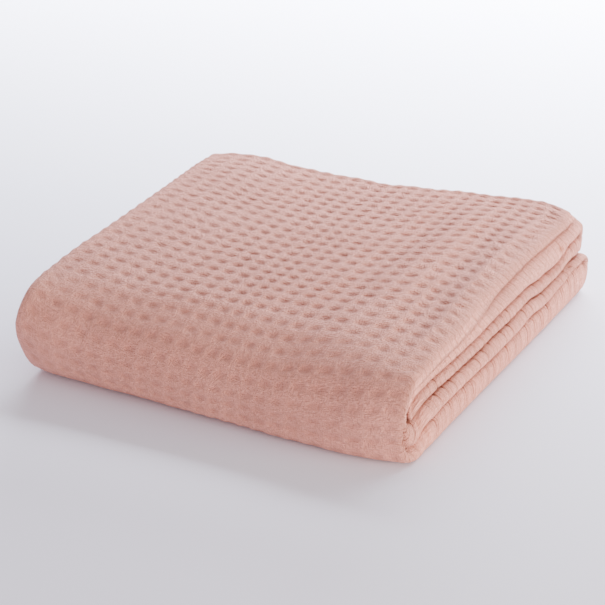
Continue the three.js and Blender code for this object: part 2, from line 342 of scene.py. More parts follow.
# %% A point of the section
def section_point(across, row, face, pressed, length):
    """x and height in the strip. On a flat layer x runs straight, on an edge it is
    the centre plus radius times cosine, both raised to the power that makes the edge
    fuller. The face lies half the cloth's thickness to its own side. Where two edges
    are pressed together the lower side fills the gap between them."""
    segment, t = segment_of(across, SECTION)
    x0, x1, level, facing, radius, a0, a1 = SECTION[segment].T
    column = mix(LAST_FLAT_COLUMN, FIRST_COLUMN, t)
    x = np.where(segment == FIRST, column_x(column, row), mix(x0, x1, t))
    side = face * facing * SHEET / 2
    angle = np.pi * mix(a0, a1, t)
    reach = radius * PITCH + side
    right = (segment == ROLL) | (segment == INNER_EDGE)
    low = np.sin(angle) < 0
    right_power = np.where(low, mix(ROLL_POWER, PRESSED_POWER, pressed), ROLL_POWER)
    power = np.where(right, right_power, LEFT_POWER)
    bend = radius > 0
    stretch = np.select([segment == ROLL, segment == INNER_EDGE], [length + 0 * x, ROLL_LENGTH], 1)
    x = x + np.where(bend, reach * signed_power(np.cos(angle), power) * stretch, 0)
    w = level * PITCH + np.where(bend, reach * signed_power(np.sin(angle), power), side)
    w = w - LEG / 2
    outer_low = (segment == ROLL) & low & (face > 0)
    return x, w * np.where(outer_low, mix(1, PRESSED_REACH, pressed), 1)


tip = section_point(np.array([ROLL + 0.5]), np.array([0.0]), np.array([1.0]), 0, ROLL_LENGTH)
print("tip of the rolled edge, mm:", round(float(tip[0][0]), 1))

# %% [markdown]
# ## The strip's route
#
# Seen from the side the strip is a spiral: five straight legs and four folds. A curve
# object with a bevel would follow such a path too, but it can't say where two folds
# are pressed into one smooth roll, as the top and the high leg are near the front.

# %% Route of the strip
ROUTE = np.array(
    [  # start y, end y, height, heading, fold radius, turn
        (TOP_HEM_Y, WRAP_Y, 4.5 * LEG, -1, 0, 0),
        (WRAP_Y, WRAP_Y, WRAP_Z, -1, 2 * LEG, 1),
        (WRAP_Y, LOW_BACK_Y, 0.5 * LEG, 1, 0, 0),
        (LOW_BACK_Y, LOW_BACK_Y, LEG, 1, LEG / 2, 1),
        (LOW_BACK_Y, WRAP_Y, 1.5 * LEG, -1, 0, 0),
        (WRAP_Y, WRAP_Y, WRAP_Z, -1, LEG, -1),
        (WRAP_Y, HIGH_BACK_Y, 3.5 * LEG, 1, 0, 0),
        (HIGH_BACK_Y, HIGH_BACK_Y, 3 * LEG, 1, LEG / 2, -1),
        (HIGH_BACK_Y, WRAP_Y, 2.5 * LEG, -1, 0, 0),
    ]
)
TOP_LEG, FRONT, FLOOR_LEG, LOW_BACK, LOW_LEG, INNER_FRONT, HIGH_LEG, HIGH_BACK, MID_LEG = range(len(ROUTE))
NOSE_PART = (-120, -49)  # the nose grows from this y on, over this span


def route_point(along, w):
    """y and z of the strip's middle plus w times its side. A leg is straight, a fold
    is half a circle, and the mid leg's hem bulges to a round nose."""
    segment, t = segment_of(along, ROUTE)
    y0, y1, z0, heading, radius, turn = ROUTE[segment].T
    angle = np.where(heading < 0, np.pi, 0) + turn * np.pi * t
    fold = radius > 0
    side_y = np.where(fold, np.sin(angle), 0)
    side_z = np.where(fold, -np.cos(angle), -heading)
    y = mix(y0, y1, t) + turn * radius * side_y
    z = z0 + turn * radius * side_z
    rounding = np.sqrt(np.clip(1 - (2 * w / LEG) ** 2, 0, 1))
    nose = np.where(segment == MID_LEG, NOSE * ramp(y, *NOSE_PART), 0)
    return y + w * side_y - nose * rounding, z + w * side_z


print("route has", len(ROUTE), "segments")

# %% [markdown]
# Near the front and near the back the top leg presses on the high leg, and the crease
# between their rolled edges closes. A cloth simulation would find that by itself, with
# far more work. Here a number from 0 to 1 says how pressed a roll is at each place.

# %% Where two rolls are pressed into one
PRESSED_NEAR_FRONT, PRESSED_NEAR_BACK = (30, -70), (180, 25)  # of the legs: y and span
PRESSED_ROUND_FRONT, PRESSED_ROUND_INNER = (0.25, 0.3), (0.45, 0.3)  # of the folds' turns


def pressed_at(along):
    """1 where the top leg and the high leg are pressed into one smooth roll: near the
    front and near the back of both legs, and over the upper part of both front folds."""
    segment, t = segment_of(along, ROUTE)
    y = mix(ROUTE[segment, 0], ROUTE[segment, 1], t)
    on_leg = ramp(y, *PRESSED_NEAR_FRONT) + ramp(y, *PRESSED_NEAR_BACK)
    return np.select(
        [(segment == TOP_LEG) | (segment == HIGH_LEG), segment == FRONT, segment == INNER_FRONT],
        [on_leg, 1 - ramp(t, *PRESSED_ROUND_FRONT), ramp(t, *PRESSED_ROUND_INNER)],
        0.0,
    )


print("pressed round the front:", pressed_at(np.array([FRONT + 0.1, FRONT + 0.9])))

# %% [markdown]
# ## How the pack has settled
#
# Real folds never stay square. These tables say how high each seam between two legs
# lies at the right, in the middle and at the left. Sculpting could do the same, but a
# table can be read, and each number can be changed on its own. Between two rows of a
# table the value is eased, so nothing has a kink.

# %% Heights of the seams
RIGHT_SEAMS = np.array(
    [  # y, low, mid, high, top, crown
        (-213, 17, 31.5, 46, 61, 73),
        (-170, 27, 45.5, 56, 66, 78),
        (-135, 29.5, 46.5, 57.5, 67.5, 79.5),
        (-100, 29, 46, 57, 68, 80),
        (-50, 27.5, 45, 56, 69, 80.5),
        (-30, 26.5, 46, 57, 70, 80.5),
        (20, 27.5, 44.5, 57.5, 72, 81),
        (60, 29.5, 46.5, 57.5, 74, 81.5),
        (95, 27, 40.5, 52.5, 74.5, 82),
        (130, 31, 41, 50, 74, 82),
        (160, 36, 43, 57, 73, 81),
        (185, 35, 41.5, 58, 73, 82.5),
        (200, 32, 38, 58, 73.5, 82.5),
        (214, 27, 31, 58, 73, 81),
    ]
)
MIDDLE_SEAMS = np.array(
    [  # y, low, mid, high, top, crown
        (-213, 15, 30, 45, 60, 77),
        (-160, 16, 32, 48, 64, 81),
        (-95, 16.6, 33.2, 49.8, 66.4, 84),
        (120, 16.8, 33.6, 50.4, 67, 84),
        (214, 16.5, 33, 49, 65, 81),
    ]
)
LEFT_SEAMS = np.array(
    [  # y, low, mid, high, top, crown
        (-213, 15, 30, 44, 60, 75),
        (-150, 15.5, 31, 46, 63, 81),
        (-75, 16, 32, 48, 66, 84),
        (150, 16, 32, 48, 65, 82),
        (214, 16, 32, 48, 63, 79),
    ]
)


def read_table(table, at, column):
    """A column of a table at a place between its rows, eased from row to row."""
    keys = table[:, 0]
    at = np.clip(at, keys[0], keys[-1])
    row = np.clip(np.searchsorted(keys, at, side="right") - 1, 0, len(keys) - 2)
    t = ease((at - keys[row]) / (keys[row + 1] - keys[row]))
    return mix(table[row, column], table[row + 1, column], t)


print("crown at the right's middle:", round(float(read_table(RIGHT_SEAMS, np.array([0.0]), LEGS)[0]), 1))

# %% [markdown]
# Each leg's rolled edge reaches out by its own length, and the outline bulges at the
# front and dips at the back, so both have a table too.

# %% Reach of the legs and outline
RIGHT_REACH = np.array(
    [  # y, floor leg, low leg, mid leg, high leg, top leg
        (-213, 196, 194, 193, 193, 191),
        (-190, 201, 200, 193, 192, 191),
        (-160, 203, 204, 194, 193, 190),
        (-100, 202, 204, 197, 195, 187),
        (0, 202, 204, 197, 195, 178),
        (100, 202, 202, 197, 195, 177),
        (170, 202, 202, 196, 195, 179),
        (214, 200, 199, 193, 192, 173),
    ],
    float,
)
LEFT_REACH = np.array([196.0, 201.0, 207.0, 210.0, 209.5])  # from the floor leg up
OUTLINE = np.array(
    [  # x, front bulge, back of the top leg, back of the floor leg
        (-200, 0, -10, -4),
        (-150, 2, -5, -2),
        (-110, 4, -13, 0),
        (-70, 5, -14, -1),
        (-40, 6, -12, -2),
        (-15, 7, -14, -1),
        (20, 8, -6, 0),
        (80, 11, 6, 2),
        (150, 12, 14, 5),
        (200, 7, 19, 10),
    ],
    float,
)
print("the front bulges by up to", OUTLINE[:, 1].max(), "mm")

# %% [markdown]
# ## Fuller folds
#
# A fold of soft cloth isn't a half circle. Its own weight lays the front fold square on
# the floor, the hand that smoothed the pack pushed the inner folds forward at the
# right, and the top hem lies on a back fold that it presses full. All three are the
# same move: a distance from the fold's axis is raised to a power.

# %% Fuller folds
FRONT_POWER = 2.2  # of the front folds above their axis, where 2 is a circle
FLOOR_POWERS = (3, 5.5)  # below it, at the left and at the right
FLOOR_PART = (-100, 200)  # from the left's to the right's: x and span
TINY = 1e-9


def superellipse_stretch(a, b, power):
    """How far a point of a circle moves out to reach a superellipse: the sum of both
    shares of the radius, each to the power, to the power of minus 1 over it."""
    radius = np.hypot(a, b) + TINY
    total = np.abs(a / radius) ** power + np.abs(b / radius) ** power
    return total ** (-1 / power)


def square_front(x, y, z):
    """Squares the front folds about their axis, more toward the floor."""
    forward, upward = y - WRAP_Y, z - WRAP_Z
    power = np.where(upward < 0, mix(*FLOOR_POWERS, ramp(x, *FLOOR_PART)), FRONT_POWER)
    stretch = np.where(forward < 0, superellipse_stretch(forward, upward, power), 1)
    return WRAP_Y + forward * stretch, WRAP_Z + upward * stretch


corner_stretch = superellipse_stretch(1.0, 1.0, FLOOR_POWERS[1])
print("the front fold's lower right corner moves out by a factor of", round(float(corner_stretch), 3))

# %% [markdown]
# The inner folds at the right come forward until they nearly touch the outer one, and
# the high back fold fills the corner under the top hem. Vertices could be moved one by
# one, but a formula keeps the order of the layers, so none cuts another.

# %% Inner folds and back fold
WRAP_POWER, WRAP_PART = 0.3, (150, 45)  # how hard the inner folds are pressed: x and span
LEAST_LIMIT, LEAST_SHARE = 0.05, 1e-6  # keep the root and the power away from 0
BACK_POWERS = (2, 4)  # of the high back fold's upper corner, at the left and at the right
BACK_PART = (120, 60)


def press_wraps(x, y, z):
    """At the right the wraps are pressed forward, so the inner folds come close to the
    outer one: the share of the way to the front is raised to a power below 1."""
    forward, upward = WRAP_Y - y, z - WRAP_Z
    limit = np.sqrt(np.clip(1 - (upward / WRAP_Z) ** 2, LEAST_LIMIT, 1)) * WRAP_Z
    share = np.clip(forward / limit, LEAST_SHARE, 1)
    pressed = limit * share ** mix(1, WRAP_POWER, ramp(x, *WRAP_PART))
    return np.where((forward > 0) & (forward < limit), WRAP_Y - pressed, y)


def square_back(x, y, z):
    """Fills the upper corner of the high back fold at the right, under the top hem."""
    outward, upward = y - HIGH_BACK_Y, z - 3 * LEG
    corner = (outward > 0) & (upward > 0) & (upward <= LEG)
    stretch = superellipse_stretch(outward, upward, mix(*BACK_POWERS, ramp(x, *BACK_PART)))
    y = np.where(corner, HIGH_BACK_Y + outward * stretch, y)
    return y, np.where(corner, 3 * LEG + upward * stretch, z)


halfway = press_wraps(HALF_WIDTH, WRAP_Y - WRAP_Z / 2, WRAP_Z)
print("halfway to the front, pressed, mm:", round(float(halfway), 1), "instead of", WRAP_Y - WRAP_Z / 2)

# %% [markdown]
# ## Settling in height
#
# Now the tables are put to use, one function for each direction. The middle of the
# pack is nearly even, and its rolled edges sag, so heights are drawn toward the tables
# of the sides by a curve that starts late and ends steep.

# %% Settling in height
RIGHT_SHOULDER, LEFT_SHOULDER = (95, 100, 2.4), (140, 60, 2.2)  # x, span and power


def seam_height(x, y, seam):
    """The middle's height, drawn toward the right's and the left's at the shoulders."""
    right = shoulder(x, *RIGHT_SHOULDER)
    left = shoulder(-x, *LEFT_SHOULDER)
    middle = read_table(MIDDLE_SEAMS, y, seam)
    return (
        middle
        + (read_table(RIGHT_SEAMS, y, seam) - middle) * right
        + (read_table(LEFT_SEAMS, y, seam) - middle) * left
    )


def pick(stack, which):
    """From a stack of arrays, each point's value in the array that it names."""
    return np.take_along_axis(stack, which[None], 0)[0]


def settle_height(x, y, z):
    """Each leg is stretched or squeezed evenly between its seams. The floor leg's
    underside stays flat on the floor."""
    underside = (PITCH - SHEET) / 2
    leg = np.clip(np.floor(z / LEG).astype(int), 0, LEGS - 1)
    bottom = np.where(leg == 0, underside, leg * LEG)
    t = (z - bottom) / ((leg + 1) * LEG - bottom)
    seams = np.stack([0 * x] + [seam_height(x, y, seam) for seam in range(1, LEGS + 1)])
    return mix(pick(seams, leg), pick(seams, leg + 1), t)


middle_top = settle_height(np.array([0.0]), np.array([0.0]), np.array([LEG * LEGS - 0.1]))
print("height in the middle, mm:", round(float(middle_top[0]), 1))

# %% [markdown]
# ## Settling across
#
# The rolled edges don't end above each other: the lower legs are squeezed out by the
# weight, and the top leg ends further in. Between two legs the reach changes evenly.

# %% Settling across
EDGE_START, EDGE_SPAN = 60, 140  # the edges move from this distance to the middle on


def settle_across(x, y, z):
    """Moves the folded edges out or in, leg by leg: the nearer an edge, the more of
    its table's reach is used, eased from the middle."""
    level = np.clip(z / LEG - 0.5, 0, LEGS - 1)
    leg = np.minimum(np.floor(level).astype(int), LEGS - 2)
    reach = np.stack([read_table(RIGHT_REACH, y, column) for column in range(1, LEGS + 1)])
    right = mix(pick(reach, leg), pick(reach, leg + 1), level - leg)
    left = mix(LEFT_REACH[leg], LEFT_REACH[leg + 1], level - leg)
    return (
        x
        + (right - HALF_WIDTH) * ramp(x, EDGE_START, EDGE_SPAN)
        - (left - HALF_WIDTH) * ramp(x, -EDGE_START, -EDGE_SPAN)
    )


right_edges = settle_across(HALF_WIDTH * np.ones(LEGS), np.zeros(LEGS), (np.arange(LEGS) + 0.5) * LEG)
print("right edges from the floor up, mm:", right_edges.round(1))

# %% [markdown]
# ## Settling along
#
# The front and the back follow the uneven outline, and the corners of the pack are
# round, because no hand folds cloth to a sharp corner.

# %% Settling along
CORNER_CUT, CORNER_ROUND = 4.0, (170, 30, 2)  # how far a corner is drawn in: x, span, power
RIGHT_FRONT_SHARE, UPPER_BACK_SHARE = 0.4, 1.7
HEM_CUT, HEM_ROUND = 8.0, (150, 40, 2)  # the top hem's right corner is drawn in further
FRONT_MOVES, BACK_MOVES = (-60, -120), (40, 150)  # the outline's bulges: y and span
FRONT_CORNERS, BACK_CORNERS = (-120, -60), (140, 50)


def settle_along(x, y, z):
    """Moves the front and the back to the uneven outline, with rounded corners: the
    cut grows with the square of the way into the corner."""
    upper = shoulder(z, LEG, 3.5 * LEG, 1)
    back = mix(read_table(OUTLINE, x, 3), read_table(OUTLINE, x, 2), upper)
    corner = CORNER_CUT * shoulder(np.abs(x), *CORNER_ROUND)
    front_corner = corner * mix(1, RIGHT_FRONT_SHARE, x > 0)
    back_corner = corner * mix(1, UPPER_BACK_SHARE, upper)
    hem_corner = HEM_CUT * shoulder(x, *HEM_ROUND) * (z > 4 * LEG)
    return (
        y
        - read_table(OUTLINE, x, 1) * ramp(y, *FRONT_MOVES)
        + back * ramp(y, *BACK_MOVES)
        + front_corner * ramp(y, *FRONT_CORNERS)
        - (back_corner + hem_corner) * ramp(y, *BACK_CORNERS)
    )


front_corner_y = settle_along(np.array([-HALF_WIDTH, 0.0]), WRAP_Y * np.ones(2), np.zeros(2))
print("front at the left corner and in the middle, mm:", front_corner_y.round(1))

# %% [markdown]
# ## Hills and hollows
#
# The top of a folded blanket is never flat. A few wide, low hills and hollows are
# placed one by one: each is a bell, so their sum is smooth everywhere. Two rows of long
# ones make the groove and the ridge that run along the right shoulder. Proportional
# editing could pull the same shapes, but it leaves no numbers to read or change.

# %% Hills and hollows
SWELLS = np.array(
    [  # x, y, half length along x, half length along y, height at the top
        (75, 110, 13, 70, -1.3),
        (66, -40, 12, 80, -1.0),
        (105, 20, 16, 120, 1.0),
        (-172, 20, 12, 120, -1.0),
        (-40, 120, 60, 45, -1.6),
        (-120, 150, 40, 35, 1.2),
        (10, -60, 70, 40, 0.8),
        (-110, -110, 34, 22, -1.2),
        (-60, -135, 30, 18, 1.0),
        (40, -120, 40, 20, -1.0),
        (130, 110, 12, 45, -1.2),
        (137, 40, 12, 45, -1.3),
        (144, -30, 12, 45, -1.3),
        (152, -95, 14, 35, -1.2),
        (155, 110, 11, 45, 1.2),
        (162, 40, 11, 45, 1.3),
        (169, -30, 10, 45, 1.2),
        (174, -90, 9, 35, 1.0),
    ]
)


def hill(a, b, at_a, at_b, wide, long):
    """1 at its top: e to minus both squared distances, each in its own half length."""
    return np.exp(-(((a - at_a) / wide) ** 2) - ((b - at_b) / long) ** 2)


def swell(x, y):
    """The sum of the soft round hills and hollows."""
    total = 0 * x
    for at_x, at_y, wide, long, height in SWELLS:
        total = total + height * hill(x, y, at_x, at_y, wide, long)
    return total


print("hills and hollows:", len(SWELLS))

# %% [markdown]
# ## The brow and the left side
#
# The brow is where the top leg bends down into the front fold, well before the fold's
# own circle starts. The left side swells out where the wraps inside are thickest.

# %% Brow and left side
BROW = np.array(
    [  # y, share of its height that the rounded brow of the front has lost there
        (-225, 0.28),
        (-216, 0.27),
        (-210, 0.252),
        (-200, 0.206),
        (-190, 0.175),
        (-180, 0.134),
        (-170, 0.094),
        (-160, 0.054),
        (-155, 0.036),
        (-150, 0.0215),
        (-145, 0.011),
        (-138, 0.003),
        (-130, 0),
    ]
)
BROW_SIDES = np.array(
    [  # x, how far the brow lies further forward, share of its loss
        (-205, 8, 0.15),
        (-185, 0, 0.6),
        (-140, 0, 1),
        (60, 0, 1),
        (120, 12, 0.9),
        (180, 32, 0.5),
        (205, 36, 0.4),
    ]
)
LEFT_BULGE, LEFT_BULGE_Y, LEFT_BULGE_LONG = 4.0, -145, 80
LEFT_BULGE_PART = (110, 90)  # it starts this far left of the middle, over this span


def brow(x, y):
    """How much lower the rounded front edge of the top lies, as a share."""
    later = np.interp(x, BROW_SIDES[:, 0], BROW_SIDES[:, 1])
    share = np.interp(x, BROW_SIDES[:, 0], BROW_SIDES[:, 2])
    return np.interp(y + later, BROW[:, 0], BROW[:, 1]) * share


def left_bulge(x, y, z):
    """The left side bulges near its front and its top: a bell along y, times the
    square root of the share of the height."""
    along_y = bell(y, LEFT_BULGE_Y, LEFT_BULGE_LONG)
    return LEFT_BULGE * along_y * ramp(-x, *LEFT_BULGE_PART) * np.sqrt(np.clip(z, 0, None) / (LEG * LEGS))


print("the brow loses at most", BROW[0, 1], "of the height")

# %% [markdown]
# ## One function for the whole cloth
#
# Everything above now makes one function: a place in the grid goes in, and a point of
# the folded and settled cloth comes out. The mesh, the directions of the surface and
# the relief of the weave are all worked out from it.

# %% The folded cloth
ROLL_LENGTHS = np.array(
    [  # along the route, how long the rolled edge is there, in its half circle's depths
        (0, 2.2),
        (1, 1.6),
        (1.7, ROLL_LENGTH),
    ]
)


def settle(x, y, z):
    """Fills the folds, then settles across, along and in height. The swells fade down
    through the pack with the square of the height, so no layer cuts another."""
    y, z = square_back(x, *square_front(x, press_wraps(x, y, z), z))
    across, along, height = settle_across(x, y, z), settle_along(x, y, z), settle_height(x, y, z)
    height = height * (1 - brow(across, along)) + swell(across, along) * (z / (LEG * LEGS)) ** 2
    return across - left_bulge(x, y, z), along, height


def cloth_point(across, row, face):
    """The place on one face of the folded and settled sheet, as three columns. The
    bow needs x on the flat, so the section is read first, then the route."""
    x, w = section_point(across, row, face, 0, ROLL_LENGTH)
    along = along_of(bowed(x, row))
    length = np.interp(along, ROLL_LENGTHS[:, 0], ROLL_LENGTHS[:, 1])
    x, w = section_point(across, row, face, pressed_at(along), length)
    y, z = route_point(along, w)
    return np.stack(settle(x, y, z), -1)


middle_of_top = cloth_point(np.array([FIRST + 0.5]), np.array([0.0]), np.array([1.0]))
print("a point of the top, mm:", middle_of_top[0].round(1))

# %% [markdown]
# ## The lines of the grid
#
# A step of 2 mm everywhere would need more than a million faces, and most of them would
# lie inside the pack, where nobody sees them. A Subdivision Surface would have the same
# fault. So the shown parts get lines that follow the cells of the waffle, and hidden
# segments get a few evenly spaced ones.

# %% Lines of the grid
LINE_GAP = 0.05  # no line lies closer than this to the end of a segment


def lattice_lines(first, last, steps):
    """All grid lines between two places on the grid, with both ends."""
    cells = np.arange(math.floor(min(first, last)) - 1, math.ceil(max(first, last)) + 2)
    lines = np.sort((cells[:, None] + np.array(steps)[None]).ravel())
    low, high = min(first, last), max(first, last)
    lines = lines[(lines > low + LINE_GAP) & (lines < high - LINE_GAP)]
    lines = np.concatenate([[low], lines, [high]])
    return lines if last > first else lines[::-1]


def waffle_stations(segment, first, last, steps):
    """Parameters and grid places of a shown segment, without its last station."""
    places = lattice_lines(first, last, steps)
    return segment + (places[:-1] - first) / (last - first), places[:-1]


print("lines of one cell:", lattice_lines(-0.5, 0.5, CELL_STEPS))

# %% [markdown]
# Across the section the small edges and the two inner layers need no pits, so their
# lines are evenly spaced. Their columns count on, so that every line has one.

# %% Lines across
EDGE_LINES, EDGE_COLUMNS = 6, 0.07  # round a small edge, and columns from line to line
LAYER_LINES, LAYER_COLUMNS = 14, 24  # along a hidden layer, and columns in all
SECOND_COLUMN, INNER_COLUMN, THIRD_COLUMN = -1, -25, -25.5


def edge_stations(segment, first):
    """The same round a small edge, evenly spaced."""
    line = np.arange(EDGE_LINES)
    return segment + line / EDGE_LINES, first - EDGE_COLUMNS * line


def layer_stations(segment, first, extra=0):
    """The same along a hidden layer."""
    line = np.arange(LAYER_LINES + extra)
    return segment + line / LAYER_LINES, first - LAYER_COLUMNS * line / LAYER_LINES


across_parts = [
    waffle_stations(FOURTH, HEM_COLUMN, LAST_ROLL_COLUMN, ACROSS_STEPS),
    waffle_stations(ROLL, LAST_ROLL_COLUMN, LAST_FLAT_COLUMN, ACROSS_STEPS),
    waffle_stations(FIRST, LAST_FLAT_COLUMN, FIRST_COLUMN, ACROSS_STEPS),
    edge_stations(SMALL_EDGE, FIRST_COLUMN),
    layer_stations(SECOND, SECOND_COLUMN),
    edge_stations(INNER_EDGE, INNER_COLUMN),
    layer_stations(THIRD, THIRD_COLUMN, extra=1),
]
across_at = np.concatenate([part[0] for part in across_parts])
across_at[-1] = len(SECTION) - TINY
column_at = np.concatenate([part[1] for part in across_parts])
print("lines across:", len(across_at))

# %% [markdown]
# Along the route every segment shows somewhere, at least on its rolled edge, so all of
# them follow the cells. Legs that show only there get six lines a cell, not eight.

# %% Lines along
FINE_ROWS = (TOP_LEG, FRONT, LOW_BACK, INNER_FRONT, HIGH_BACK)
along_parts = [
    waffle_stations(
        segment,
        ROW_BREAKS[segment],
        ROW_BREAKS[segment + 1],
        CELL_STEPS if segment in FINE_ROWS else WIDE_STEPS,
    )
    for segment in range(len(ROUTE))
]
along_at = np.append(np.concatenate([part[0] for part in along_parts]), len(ROUTE) - TINY)
row_at = np.append(np.concatenate([part[1] for part in along_parts]), ROW_BREAKS[-1])
print("grid:", len(across_at), "by", len(along_at))

# %% [markdown]
# ## Welding the hidden layers
#
# All layers share the one grid, so a hidden layer has far more points than it needs.
# Its points are welded in groups: each group becomes its middle point, quads whose
# corners fall together become triangles or vanish, and the cloth stays one closed
# sheet with no gap between fine and coarse parts. A Decimate modifier could thin it
# too, but not with a plan of its own for each layer.

# %% Which points stay
SECTION_GROUPS = {FOURTH: 11, FIRST: 11, ROLL: 2}  # stations in a group, else 1
LEG_GROUP, FOLD_GROUP, PAIR = 7, 3, 2
FLOOR_GROUP = 3


def groups(parts, stations, size):
    """For each station the station that stands for it: the middle one of its group.
    `size` gives each segment's group size. The first and the last stand alone."""
    keep, start = [], 0
    for segment, part in enumerate(parts):
        count = len(part[0])
        step = size(segment)
        first = start + np.arange(count) // step * step
        last = np.minimum(first + step - 1, start + count - 1)
        keep.append((first + last) // 2)
        start += count
    keep = np.append(np.concatenate(keep), stations - 1)[:stations]
    keep[0], keep[-1] = 0, stations - 1
    return keep


across_count, along_count = len(across_at), len(along_at)
across_groups = groups(across_parts, across_count, lambda s: SECTION_GROUPS.get(s, 1))
along_groups = groups(along_parts, along_count, lambda s: FOLD_GROUP if s % 2 else LEG_GROUP)
across_floor = groups(across_parts, across_count, lambda s: FLOOR_GROUP if s == FIRST else 1)
along_pairs = groups(along_parts, along_count, lambda s: PAIR)
print("coarse grid:", len(np.unique(across_groups)), "by", len(np.unique(along_groups)))

# %% [markdown]
# ## From the grid to a closed sheet
#
# The outer face of the first layer shows on the top, down the front and at the low
# back, the fourth layer shows at the high back, and the rolled edge shows all the way.
# The floor side and the small edge on the left are in between: every second row stays.

# %% Numbers of the points
columns, rows = np.meshgrid(np.arange(across_count), np.arange(along_count), indexing="ij")
section_of, route_of = across_at.astype(int)[columns], along_at.astype(int)[rows]

first_shown = (section_of == FIRST) & np.isin(route_of, (TOP_LEG, FRONT, LOW_BACK))
fourth_shown = (section_of == FOURTH) & (route_of == HIGH_BACK)
fine = first_shown | fourth_shown | (section_of == ROLL)
paired = ((section_of == FIRST) & (route_of == FLOOR_LEG)) | (section_of == SMALL_EDGE)

outer_column = np.where(fine, columns, np.where(paired, across_floor[columns], across_groups[columns]))
outer_row = np.where(fine, rows, np.where(paired, along_pairs[rows], along_groups[rows]))
count = across_count * along_count
outer = outer_column * along_count + outer_row
inner = count + across_groups[columns] * along_count + along_groups[rows]
print("points of the fine part:", int(fine.sum()), "of", count)

# %% [markdown]
# Four neighbours in the grid make a quad, on the outer face and, turned over, on the
# inner face. Strips of quads along the four hems close the sheet. Where the welding let
# two corners fall together, the quad is a triangle or nothing.


# %% Faces
def quads(a, b, c, d):
    """Four arrays of corners as one list of quads."""
    return np.stack([np.ravel(v) for v in (a, b, c, d)], -1)


def welded_faces(corners):
    """Quads with four different corners, and triangles from those with three."""
    same = corners == np.roll(corners, -1, axis=1)
    whole = corners[~same.any(1)]
    part = corners[same.sum(1) == 1]
    drop = np.argmax(same[same.sum(1) == 1], axis=1)
    order = (drop[:, None] + 1 + np.arange(3)[None]) % 4
    return whole, np.take_along_axis(part, order, 1)


corners = np.concatenate(
    [
        quads(outer[:-1, :-1], outer[1:, :-1], outer[1:, 1:], outer[:-1, 1:]),
        quads(inner[:-1, :-1], inner[:-1, 1:], inner[1:, 1:], inner[1:, :-1]),
        quads(outer[:-1, 0], inner[:-1, 0], inner[1:, 0], outer[1:, 0]),
        quads(outer[1:, -1], inner[1:, -1], inner[:-1, -1], outer[:-1, -1]),
        quads(outer[0, 1:], inner[0, 1:], inner[0, :-1], outer[0, :-1]),
        quads(outer[-1, :-1], inner[-1, :-1], inner[-1, 1:], outer[-1, 1:]),
    ]
)
whole, part = welded_faces(corners)
used = np.unique(np.concatenate([whole.ravel(), part.ravel()]))
number = np.full(2 * count, -1)
number[used] = np.arange(len(used))
face_list = number[whole].tolist() + number[part].tolist()
print("vertices", len(used), "triangles", 2 * len(whole) + len(part))

# %% [markdown]
# ## Which way the cloth faces
#
# The pits of the weave sink into the cloth along its own normal, so they stay pits on
# the front fold too. Blender could give normals only after the mesh is made. Here the
# function itself is stepped a little to both sides: the two steps span the surface, and
# their cross product is its normal.

# %% Points and normals
face_of = np.where(used < count, 1, -1)
i, j = used % count // along_count, used % along_count
across_used, column_used, row_used = across_at[i], column_at[i], row_at[j]
section_used, route_used = across_used.astype(int), along_at[j].astype(int)

STEP = 1e-3
LAST_STATION = len(SECTION) - 0.5  # past it the step goes backwards, to stay in the sheet
flat = cloth_point(across_used, row_used, face_of)
step_across = np.where(across_used < LAST_STATION, STEP, -STEP)
step_row = np.where(row_used > ROW_BREAKS[-1] + 1, -STEP, STEP)
by_across = (cloth_point(across_used + step_across, row_used, face_of) - flat) / step_across[:, None]
by_row = (cloth_point(across_used, row_used + step_row, face_of) - flat) / -step_row[:, None]
normal = np.cross(by_across, by_row)
normal /= np.linalg.norm(normal, axis=1)[:, None] + 1e-12
print("longest normal:", round(float(np.linalg.norm(normal, axis=1).max()), 6))

# %% [markdown]
# ## Pits and cracks
#
# A waffle's pit is a small oblong hollow with soft walls, and every one is a little
# different. Where the cloth turns round an edge it is stretched: the pits open into
# cracks that run across the roll, one at each row.

# %% Pits and cracks
PIT_WIDE, PIT_LONG = 1.25, 0.85  # a pit's shape, where 1 and 1 would be square
PIT_FLOOR, PIT_WALL = 0.1, 0.24  # radius of the flat bottom and width of the wall, in cells
PIT_SLOPE = 0.5  # radius where the soft slope round it ends
PIT_STRAY = 0.06  # how far a pit lies off its cell's middle, in cells
PIT_LEAST, PIT_SPREAD = 0.85, 0.3  # the shallowest pit, and how much deeper others are
CRACK_WIDTH, CRACK_LEAST, CRACK_POWER = 0.08, 0.2, 1.5


def pit_depth(column, row):
    """Two numbers, 1 in the middle of a pit and 0 on the ribs: an eased step on a
    rounded square's radius, and a wide soft slope. Each cell's pit is a little off its
    middle and deeper or shallower."""
    cell_column, cell_row = np.round(column), np.round(row)
    du = column - cell_column - PIT_STRAY * (hashed(cell_column, cell_row, 1) - 0.5)
    dv = row - cell_row - PIT_STRAY * (hashed(cell_column, cell_row, 2) - 0.5)
    radius = (np.abs(du / PIT_WIDE) ** 4 + np.abs(dv / PIT_LONG) ** 4) ** (1 / 4)
    depth = 1 - ramp(radius, PIT_FLOOR, PIT_WALL)
    slope = 1 - ease(radius / PIT_SLOPE)
    return depth * (PIT_LEAST + PIT_SPREAD * hashed(cell_column, cell_row, 3)), slope


def crack_shape(row):
    """Two numbers: a narrow bell on the row's middle, and how strong that row's crack
    is, chance to a power, so that most are weak and a few are strong."""
    cell_row = np.round(row)
    return bell(row, cell_row, CRACK_WIDTH), CRACK_LEAST + hashed(cell_row, 3, 6) ** CRACK_POWER


middle_depth, middle_slope = pit_depth(np.array([10.0, 10.5]), np.array([5.0, 5.0]))
print("pit 10, 5 and the rib beside it:", middle_depth.round(2), middle_slope.round(2))

